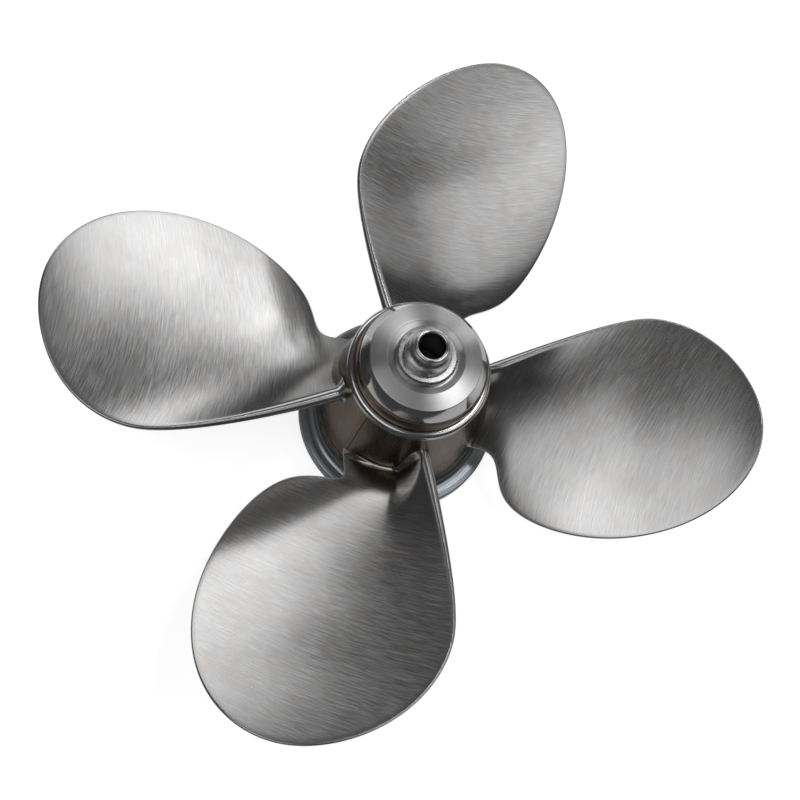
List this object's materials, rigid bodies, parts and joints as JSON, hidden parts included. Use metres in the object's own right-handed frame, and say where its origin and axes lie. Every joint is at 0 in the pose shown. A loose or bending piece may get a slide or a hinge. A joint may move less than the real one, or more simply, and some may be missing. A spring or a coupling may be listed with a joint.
{
  "type": "ship propeller",
  "caption": "Fixed-pitch screw propeller: cupped blades on a tapered, flanged hub, with a chamfered nose cap and a bored spigot.",
  "frame": {"origin": "centre of the rear flange's back face, on the shaft line", "axes": "+Z along the shaft line from the rear flange to the nose; +X to the right of the picture and +Y up it, square to the shaft"},
  "size_m": [0.4111, 0.411, 0.1214],
  "materials": {
    "brushed_stainless": "hand-brushed stainless steel with fine arced scratches",
    "turned_stainless": "turned and satin-finished stainless steel",
    "polished_stainless": "polished stainless steel",
    "flange_stainless": "blue-grey satin stainless steel",
    "heat_tinted_stainless": "stainless steel with a brown heat tint",
    "mottled_stainless": "worn, mottled stainless steel",
    "weld_metal": "rough cream weld bead",
    "core_steel": "dark machined steel"
  },
  "bodies": {
    "root": {"rear_flange": "flange_stainless", "flange_weld": "weld_metal", "hub_core": "core_steel", "hub_segment_1": "heat_tinted_stainless", "hub_segment_2": "heat_tinted_stainless", "hub_segment_3": "heat_tinted_stainless", "hub_segment_4": "heat_tinted_stainless", "blade_1": "brushed_stainless", "blade_2": "brushed_stainless", "blade_3": "brushed_stainless", "blade_4": "brushed_stainless", "front_bead_ring": "polished_stainless", "neck_band": "heat_tinted_stainless", "nose_cap": "turned_stainless", "spigot_collar": "mottled_stainless", "spigot": "polished_stainless"}
  },
  "joints": []
}
